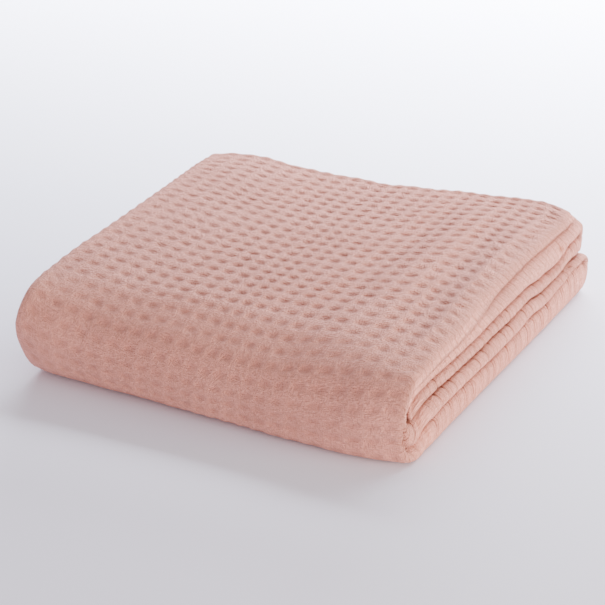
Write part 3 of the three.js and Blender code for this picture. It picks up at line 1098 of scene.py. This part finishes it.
# %% [markdown]
# ## Where the weave shows
#
# One table says how strong each feature is on each segment of the route. The pits are
# open on the top, weaker on the front, where the cloth is drawn tight, and closed on
# the rolls, where the cracks take over. They fade toward the hem, near the floor, over
# the brow and toward the left edge of the top.
#
# A roll starts at the strip's own lower side. That is its lower end on the legs that
# run to the front and its upper end on those that run to the back.

# %% Where the weave shows
STRENGTHS = np.array(
    [  # pits, cracks, painted crease shade at the start of the roll, painted crease shade at its end
        (1.0, 0.15, 0.9, 0.0),  # top leg
        (0.58, 0.2, 0.0, 0.0),  # front
        (0.0, 1.5, 0.7, 0.2),  # floor leg
        (0.8, 1.2, 0.4, 0.4),  # low back
        (0.0, 1.2, 0.6, 1.0),  # low leg
        (0.0, 0.8, 0.5, 0.5),  # inner front
        (0.0, 0.25, 0.9, 0.6),  # high leg
        (0.8, 0.6, 0.3, 0.3),  # high back
        (0.0, 0.9, 1.0, 0.6),  # mid leg
    ]
)
SHOULDER_PART = (LAST_FLAT_COLUMN - 0.6, 1.7)  # flat cloth turns into the roll: column, span
BACK_SHOULDER_PART = (LAST_FLAT_COLUMN - 2, 2)
FOURTH_PART = (0, 0.05)  # the fourth layer's end beside the roll, as a share of the layer
HEM_PART = (TOP_HEM_ROW - 0.1, -0.4)
FLOOR_FADE_PART = (-ROW_BREAKS[FLOOR_LEG] - 1.2, 1.0)  # ends just before the floor leg
BROW_LOSS, BROW_PART = 0.3, (10.5, 2.5)
LEFT_SHARE, LEFT_PART = 0.85, (3, 6)
ROLL_CLOSES = 0.9  # the share of a pit that is gone on a roll

pits_here, cracks_here, start_crease_shade, end_crease_shade = STRENGTHS[route_used].T
shown = np.ravel(fine)[used % count] & (face_of > 0)
before_floor = route_used < FLOOR_LEG
on_roll = section_used == ROLL
on_shoulder = ramp(column_used, *SHOULDER_PART)
to_roll = np.select(
    [section_used == FIRST, section_used == FOURTH, on_roll],
    [
        np.where(before_floor, on_shoulder, ramp(column_used, *BACK_SHOULDER_PART)),
        1 - ramp(1 - across_used, *FOURTH_PART),
        np.where(before_floor, on_shoulder, 1.0),
    ],
    0.0,
)
hem_fade = ramp(row_used, *HEM_PART)
floor_fade = 1 - ramp(-row_used, *FLOOR_FADE_PART) * before_floor
brow_fade = 1 - BROW_LOSS * ramp(-row_used, *BROW_PART) * (route_used == TOP_LEG)
left_fade = np.where(route_used == TOP_LEG, mix(LEFT_SHARE, 1.0, ramp(column_used, *LEFT_PART)), 1.0)
open_weave = pits_here * (1 - ROLL_CLOSES * to_roll) * shown * hem_fade * floor_fade
open_weave = open_weave * brow_fade * left_fade
print("share of the points with open weave:", round(float((open_weave > 0).mean()), 2))

# %% [markdown]
# ## Painted shade of the creases, and dents
#
# Where two rolls meet, their crease lies deepest in shade, so each roll gets a painted
# shade that grows with the cube of the way from its middle to either end. Ambient
# occlusion could darken creases too, but not these more than others. A few small dents,
# as a thumb leaves them, are placed one by one; they are pressed in and painted in shade.

# %% Painted crease shade and dents
DENTS = (  # segment of the route, place on the roll from -1 at its start to 1, row
    (TOP_LEG, -0.75, 3.9),
    (HIGH_LEG, -0.05, -93.2),
    (HIGH_LEG, 0.4, -94.4),
    (LOW_LEG, 0.5, -50.3),
    (FRONT, 0.1, -19.2),
)
DENT_ROUND, DENT_LONG = 0.16, 0.2  # half lengths round the roll and along the rows
around_roll = np.where(on_roll, 2 * (across_used - ROLL) - 1, 0.0)
dent = 0.0 * row_used
for segment, turn, row in DENTS:
    close = hill(around_roll, row_used, turn, row, DENT_ROUND, DENT_LONG)
    dent += close * (route_used == segment) * on_roll * (face_of > 0)
# painted shade: darkest by the creases where two rolls meet, and in the dents
crease_shade = dent + np.abs(around_roll) ** 3 * np.where(around_roll < 0, start_crease_shade, end_crease_shade)
print("deepest crease:", round(float(crease_shade.max()), 2))

# %% [markdown]
# ## Lumps and ripples
#
# Lumps are soft noise, wide and fine. At the left edge and at the top hem the ribs of
# the waffle stand out as a ripple, because nothing holds the edge flat. A noise texture
# as bump could make the lumps too, but then the outline would stay smooth.

# %% Lumps and ripples
WIDE_LUMP = 2.7  # the size of the wide lumps in cells, where fine ones are a cell wide
FINE_SHARE = 0.5  # how high the fine lumps are beside the wide ones
FRONT_LUMPS, OTHER_LUMPS = 0.6, 0.35
LEFT_RIPPLE, HEM_RIPPLE, RIPPLE_REACH = 0.6, 0.4, 0.9  # two heights, and a reach in cells
RIPPLE_LEAST, RIPPLE_SPREAD = 0.6, 0.8  # the weakest rib, and how much stronger others are

wide_lumps = soft_noise(column_used / WIDE_LUMP, row_used / WIDE_LUMP, 8)
lumps = wide_lumps + FINE_SHARE * soft_noise(column_used, row_used, 9)
lumps = lumps * shown * hem_fade * floor_fade * np.where(route_used == FRONT, FRONT_LUMPS, OTHER_LUMPS)
top_sections = (section_used == FIRST) | (section_used == SMALL_EDGE)
on_top = (route_used == TOP_LEG) & top_sections & (face_of > 0)
near_left = np.exp(-np.abs(column_used - FIRST_COLUMN) / RIPPLE_REACH)
near_hem = np.exp((row_used - TOP_HEM_ROW) / RIPPLE_REACH)
left_ripple = near_left * np.cos(2 * np.pi * row_used)
hem_ripple = near_hem * np.cos(2 * np.pi * column_used)
uneven = RIPPLE_LEAST + RIPPLE_SPREAD * hashed(np.round(column_used), np.round(row_used), 4)
lumps = lumps + (LEFT_RIPPLE * left_ripple + HEM_RIPPLE * hem_ripple) * uneven * on_top
print("lumps, mm:", round(float(lumps.min()), 2), "to", round(float(lumps.max()), 2))

# %% [markdown]
# ## Relief
#
# Now all of it is added up into one depth for each point. Cracks are strongest near
# the creases, where the cloth is pulled hardest. On the floor leg they weaken toward the
# floor, which the cloth rests on. A displacement map on a denser mesh could do the same,
# but here each point already lies where a pit or a crack needs it.

# %% Relief
PIT_DEEP, SLOPE_DEEP, CRACK_DEEP, DENT_DEEP = 1.35, 0.5, 1.8, 2.5
HIGH_LEG_CRACKS, OTHER_CRACKS = (0.2, 2.0), (0.5, 1.2)  # on a roll's middle and by a crease
FLOOR_LOSS, FLOOR_LOSS_PART = 0.7, (0.3, 0.5)  # round the floor leg's roll, going down

round_roll = np.where(on_roll, across_used - ROLL, np.where(section_used == FIRST, 1.0, 0.0))
near_crease = np.abs(2 * round_roll - 1) ** 2
around = np.select(
    [route_used == FLOOR_LEG, route_used == HIGH_LEG],
    [1 - FLOOR_LOSS * ramp(round_roll, *FLOOR_LOSS_PART), mix(*HIGH_LEG_CRACKS, near_crease)],
    mix(*OTHER_CRACKS, near_crease),
)
pit, slope = pit_depth(column_used, row_used)
crack_bell, strength = crack_shape(row_used)
crack = strength * cracks_here * around * to_roll * shown
weave_relief = PIT_DEEP * (pit * open_weave) + SLOPE_DEEP * (slope * open_weave)
relief = weave_relief + CRACK_DEEP * crack_bell * crack + DENT_DEEP * dent - lumps
points = flat - normal * relief[:, None]
print("deepest relief, mm:", round(float(relief.max()), 2))

# %% [markdown]
# ## The mesh
#
# The points move to the frame's middle and become metres. The columns and rows of the
# waffle go along as a UV map, and the strengths of the weave, the cracks, the rolls and
# the painted crease shade as attributes, so the material can follow the cloth wherever it goes.

# %% Mesh
middle = (flat.min(0) + flat.max(0)) / 2
middle[2] = flat[:, 2].min()
points = (points - middle) / 1000
mesh = bpy.data.meshes.new("waffle_blanket")
mesh.from_pydata(points.tolist(), [], face_list)
mesh.polygons.foreach_set("use_smooth", np.ones(len(mesh.polygons), bool))

uv = mesh.uv_layers.new(name="cells")
loop_vertex = np.empty(len(mesh.loops), np.int32)
mesh.loops.foreach_get("vertex_index", loop_vertex)
cells_uv = np.stack([column_used, row_used], -1)
uv.data.foreach_set("uv", cells_uv[loop_vertex].ravel().astype(np.float32))

strengths = {"weave": open_weave, "crack": crack, "roll": to_roll * shown, "crease_shade": crease_shade}
for name, values in strengths.items():
    layer = mesh.attributes.new(name, "FLOAT", "POINT")
    layer.data.foreach_set("value", values.astype(np.float32))
mesh.update()
blanket = bpy.data.objects.new("waffle_blanket", mesh)
bpy.context.scene.collection.objects.link(blanket)
print("blanket:", len(mesh.vertices), "vertices,", len(mesh.polygons), "faces")

# %% [markdown]
# ## Cotton
#
# The yarn is dyed one soft peach pink. Light that falls into a pit bounces off cotton
# on all sides and comes back warmer, so pits look darker and more orange than the ribs.
# That shade is painted into the pits' colour.
# A Principled shader with a high roughness and some sheen gives the dusty edge of
# brushed cotton. A texture of woven cloth could be laid over it, but an image has one
# scale and one light baked in, and nodes follow the cloth's own grid.

# %% Cotton shader
ROUGHNESS, SHEEN, SHEEN_ROUGHNESS, SPECULAR = 0.92, 0.12, 0.55, 0.1
SHEEN_COLOUR = (1.0, 0.9, 0.87, 1)

cotton = bpy.data.materials.new("peach_cotton_waffle")
cotton.use_nodes = True
nodes, links = cotton.node_tree.nodes, cotton.node_tree.links
nodes.clear()


def node(kind, **settings):
    """Adds a shader node and sets its properties and its inputs by name."""
    made = nodes.new(kind)
    for key, value in settings.items():
        if hasattr(made, key):
            setattr(made, key, value)
        else:
            made.inputs[key.replace("_", " ")].default_value = value
    return made


output = node("ShaderNodeOutputMaterial")
cloth = node("ShaderNodeBsdfPrincipled", Roughness=ROUGHNESS)
cloth.inputs["Sheen Weight"].default_value = SHEEN
cloth.inputs["Sheen Roughness"].default_value = SHEEN_ROUGHNESS
cloth.inputs["Sheen Tint"].default_value = SHEEN_COLOUR
cloth.inputs["Specular IOR Level"].default_value = SPECULAR
links.new(cloth.outputs["BSDF"], output.inputs["Surface"])

weave_value = node("ShaderNodeAttribute", attribute_name="weave").outputs["Fac"]
crack_value = node("ShaderNodeAttribute", attribute_name="crack").outputs["Fac"]
roll_value = node("ShaderNodeAttribute", attribute_name="roll").outputs["Fac"]
crease_shade_value = node("ShaderNodeAttribute", attribute_name="crease_shade").outputs["Fac"]
cells = node("ShaderNodeUVMap", uv_map="cells").outputs["UV"]
object_place = node("ShaderNodeTexCoord").outputs["Object"]
print("roughness", ROUGHNESS, "sheen", SHEEN)

# %% [markdown]
# ## Node helpers
#
# Small functions keep the node work readable: each adds one kind of node, links or sets
# its inputs, and hands back the output socket, so the recipe reads like a formula.


# %% Node helpers
def noise(vector, scale, detail=2.0):
    """A noise texture on a vector, as a number from 0 to 1 around a half."""
    texture = node("ShaderNodeTexNoise", Scale=scale, Detail=detail)
    links.new(vector, texture.inputs["Vector"])
    return texture.outputs["Fac"]


def scaled(vector, scale, turn=0.0):
    """The vector stretched by a scale for each axis, then turned about its third axis."""
    mapping = node("ShaderNodeMapping")
    mapping.inputs["Scale"].default_value = scale
    mapping.inputs["Rotation"].default_value = (0, 0, turn)
    links.new(vector, mapping.inputs["Vector"])
    return mapping.outputs["Vector"]


def maths(operation, a, b=0.0, c=0.0):
    """One number out of up to three, each a socket or a plain value."""
    made = node("ShaderNodeMath", operation=operation)
    for slot, value in enumerate((a, b, c)):
        if isinstance(value, (int, float)):
            made.inputs[slot].default_value = value
        else:
            links.new(value, made.inputs[slot])
    return made.outputs[0]


def mixed(factor, a, b):
    """Two colours mixed by a factor, each a socket or a plain colour."""
    made = node("ShaderNodeMix", data_type="RGBA", blend_type="MIX")
    for slot, value in ((0, factor), (6, a), (7, b)):
        if isinstance(value, (tuple, float)):
            made.inputs[slot].default_value = value
        else:
            links.new(value, made.inputs[slot])
    return made.outputs[2]


print("nodes so far:", len(nodes))

# %% [markdown]
# Pits, cracks and hatching repeat with every cell. In the UV map each pit lies on whole
# numbers, so all of them start from the distance to the nearest whole number. A brick
# texture repeats too, but its joints are square and can't be frayed.


# %% Lines and ovals
def off_whole(place):
    """The distance from a place to the nearest whole number, with its sign."""
    return maths("SUBTRACT", place, maths("ROUND", place))


def line_at_rows(place, width):
    """1 on the whole numbers of a place and 0 a width away from them."""
    off = maths("ABSOLUTE", off_whole(place))
    return maths("MAXIMUM", maths("MULTIPLY_ADD", off, -1 / width, 1.0), 0.0)


def off_middle(place, width):
    """The square of the distance to the nearest whole number, in widths."""
    off = maths("DIVIDE", off_whole(place), width)
    return maths("MULTIPLY", off, off)


print("nodes so far:", len(nodes))

# %% [markdown]
# ## Painted shade of the weave, and the yarns
#
# A pit's painted shade is an oval with a ragged rim, because loose yarns reach over it.
# A crack's painted shade is a thin line on the row, and on the rolls finer hatching of
# painted shade runs beside it, one line for each half row, strayed a little by noise.
# The yarns are two stretched noises, one for each direction of the weave.

# %% Painted shade of the weave, and the yarns
split = node("ShaderNodeSeparateXYZ")
links.new(cells, split.inputs["Vector"])
column_place, row_place = split.outputs["X"], split.outputs["Y"]

CRACK_LINE, HATCH_LINE = 0.06, 0.16  # widths, in rows and in half rows
PIT_SHADE_WIDE, PIT_SHADE_LONG = 0.4, 0.27  # in cells
YARN_LONG, YARN_SHORT = 3.5, 15  # how often the two yarn noises change in a cell
YARN_TURN_ACROSS, YARN_TURN_ALONG = 0.55, 0.45  # their slant, in radians
RAGGED, PIT_SHADE_FILL = 3.0, 1.25
HATCH_STRAY, HATCH_STRAY_SCALE, HATCH_BREAKS = 0.7, 1.3, (0.7, 2.5, 1)

# thin lines of painted shade along the cracks
crack_line = maths("MULTIPLY", line_at_rows(row_place, CRACK_LINE), crack_value)
# finer lines of painted shade, hatched beside the cracks on the rolls
half_rows = maths("MULTIPLY", row_place, 2.0)
hatch_place = maths("MULTIPLY_ADD", noise(cells, HATCH_STRAY_SCALE), HATCH_STRAY, half_rows)
hatch_line = maths("MULTIPLY", line_at_rows(hatch_place, HATCH_LINE), roll_value)
hatch_line = maths("MULTIPLY", hatch_line, noise(scaled(cells, HATCH_BREAKS), 1.0))

yarns_across = noise(scaled(cells, (YARN_LONG, YARN_SHORT, 1), YARN_TURN_ACROSS), 1.0)
yarns_along = noise(scaled(cells, (YARN_SHORT, YARN_LONG, 1), YARN_TURN_ALONG), 1.0)
fuzz = maths("MULTIPLY_ADD", yarns_across, 0.5, maths("MULTIPLY", yarns_along, 0.5))
fuzz_from_middle = maths("SUBTRACT", fuzz, 0.5)
ragged = maths("MULTIPLY_ADD", fuzz_from_middle, RAGGED, PIT_SHADE_FILL)
oval = maths("ADD", off_middle(column_place, PIT_SHADE_WIDE), off_middle(row_place, PIT_SHADE_LONG))
# a ragged oval in each pit, where the pit's painted shade goes
pit_shade = maths("MINIMUM", maths("MAXIMUM", maths("SUBTRACT", ragged, oval), 0.0), 1.0)
pit_shade = maths("MULTIPLY", pit_shade, weave_value)
print("nodes so far:", len(nodes))

# %% [markdown]
# ## Colour
#
# Colour goes on in coats: pale and deep ribs by the yarns and by wide patches, then
# painted shade in the pits, the creases, the cracks and the hatching.

# %% Colour
RIDGE_PALE = (0.735, 0.322, 0.268, 1)
RIDGE_DEEP = (0.59, 0.245, 0.198, 1)
# painted shade of the pits: darker and more orange, as light bounced inside them
PIT_SHADE_COLOUR = (0.48, 0.18, 0.14, 1)
# painted shade of the creases, also used for the cracks and the hatching
CREASE_SHADE_COLOUR = (0.38, 0.12, 0.065, 1)
YARN_CONTRAST = 11.0
PIT_SHADE_COAT, CREASE_SHADE_COAT, HATCH_SHADE_COAT = 0.65, 0.95, 0.75
PATCH_SCALE, PATCH_DETAIL = 16.0, 3.0

patches = noise(object_place, PATCH_SCALE, PATCH_DETAIL)
tone = maths("MULTIPLY_ADD", fuzz_from_middle, YARN_CONTRAST, patches)
ridges = mixed(tone, RIDGE_DEEP, RIDGE_PALE)
# a coat of painted shade in the pits
with_pit_shade = mixed(maths("MULTIPLY", pit_shade, PIT_SHADE_COAT), ridges, PIT_SHADE_COLOUR)
# a coat of painted shade in the creases and the dents
with_crease_shade = mixed(maths("MULTIPLY", crease_shade_value, CREASE_SHADE_COAT), with_pit_shade, CREASE_SHADE_COLOUR)
# a coat of painted shade on the cracks
with_crack_shade = mixed(crack_line, with_crease_shade, CREASE_SHADE_COLOUR)
# a coat of painted shade on the hatching
colour = mixed(maths("MULTIPLY", hatch_line, HATCH_SHADE_COAT), with_crack_shade, CREASE_SHADE_COLOUR)
links.new(colour, cloth.inputs["Base Color"])
print("nodes so far:", len(nodes))

# %% [markdown]
# ## Yarns and nap
#
# The yarns and the nap are too fine for geometry, so they are bump: light plays on
# them, but the outline stays as it is. Where pits, cracks and hatching are painted in
# shade, the same surface is pressed down a little.

# %% Yarns and nap
YARN_HEIGHT, NAP_HEIGHT = 1.6, 0.6
PIT_SHADE_DOWN, CRACK_DOWN, HATCH_DOWN = -0.12, -1.0, -0.8
BUMP_DISTANCE, NAP_SCALE = 0.003, 700.0

nap = noise(object_place, NAP_SCALE)
height = maths("MULTIPLY_ADD", fuzz, YARN_HEIGHT, maths("MULTIPLY", nap, NAP_HEIGHT))
for line, down in ((pit_shade, PIT_SHADE_DOWN), (crack_line, CRACK_DOWN), (hatch_line, HATCH_DOWN)):
    height = maths("MULTIPLY_ADD", line, down, height)
bump = node("ShaderNodeBump", Strength=1.0, Distance=BUMP_DISTANCE)
links.new(height, bump.inputs["Height"])
links.new(bump.outputs["Normal"], cloth.inputs["Normal"])
mesh.materials.append(cotton)
print("cotton has", len(nodes), "nodes")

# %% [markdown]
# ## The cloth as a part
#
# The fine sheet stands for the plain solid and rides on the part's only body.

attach(blanket, "root")
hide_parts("blanket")

# %% [markdown]
# ## Floor
#
# Plain paper under the pack, so wide that no edge of it shows. Its blue tint is small
# and cools the shadow beside the warm cloth.

# %% Floor
FLOOR_HALF = 6
FLOOR_COLOUR, FLOOR_ROUGHNESS = (0.79, 0.785, 0.94, 1), 0.9
floor_mesh = bpy.data.meshes.new("floor")
corner_signs = ((-1, -1), (1, -1), (1, 1), (-1, 1))
floor_corners = [(FLOOR_HALF * x, FLOOR_HALF * y, 0) for x, y in corner_signs]
floor_mesh.from_pydata(floor_corners, [], [(0, 1, 2, 3)])
floor = bpy.data.objects.new("floor", floor_mesh)
bpy.context.scene.collection.objects.link(floor)
paper = bpy.data.materials.new("pale_paper")
paper.use_nodes = True
paper_shader = paper.node_tree.nodes["Principled BSDF"]
paper_shader.inputs["Base Color"].default_value = FLOOR_COLOUR
paper_shader.inputs["Roughness"].default_value = FLOOR_ROUGHNESS
floor_mesh.materials.append(paper)
print("floor, m:", 2 * FLOOR_HALF, "by", 2 * FLOOR_HALF)

# %% [markdown]
# ## Light
#
# A low warm window on the right models the rolled edges, a large cool light behind
# skims the top so that each pit shows, and a weak one in front opens the shadow of the
# front fold. The backdrop light only brightens the floor behind. A sun would give hard
# shadows, and a studio's are soft, so all four are wide area lights.


# %% Lights
def soft_light(name, size, place, aim, power, colour):
    """A rectangular area light at a place, turned to its aim."""
    data = bpy.data.lights.new(name, "AREA")
    data.shape = "RECTANGLE"
    data.size, data.size_y = size
    data.energy, data.color = power, colour
    lamp = bpy.data.objects.new(name, data)
    lamp.location = place
    lamp.rotation_euler = (Vector(aim) - Vector(place)).to_track_quat("-Z", "Y").to_euler()
    bpy.context.scene.collection.objects.link(lamp)
    return lamp


BACKDROP_SPREAD = math.radians(125)
soft_light("window", (1.8, 0.5), (2.25, -0.35, 0.3), (0, 0, 0.04), 133, (1.0, 0.865, 0.69))
soft_light("back", (3.0, 1.1), (-1.6, 5.2, 1.25), (0, 0, 0.04), 470, (0.88, 0.95, 1.0))
soft_light("front fill", (1.6, 0.3), (-0.9, -2.3, 0.2), (0, 0, 0.05), 28, (1.0, 0.92, 0.92))
backdrop = soft_light("backdrop", (3.4, 1.4), (-0.2, 2.0, 1.1), (-0.2, 1.9, 0), 650, (0.92, 0.96, 1.0))
backdrop.data.spread = BACKDROP_SPREAD
print("lights:", len(bpy.data.lights))

# %% [markdown]
# ## Air
#
# A faint even glow from all sides stands for the walls of the room. It is a little pink,
# as light is that has bounced off the cloth.

# %% Air
AIR_COLOUR, AIR_STRENGTH = (1.0, 0.905, 0.905, 1), 0.72
world = bpy.data.worlds.new("air")
world.use_nodes = True
air = world.node_tree.nodes["Background"]
air.inputs["Color"].default_value = AIR_COLOUR
air.inputs["Strength"].default_value = AIR_STRENGTH
bpy.context.scene.world = world
print("air strength:", AIR_STRENGTH)
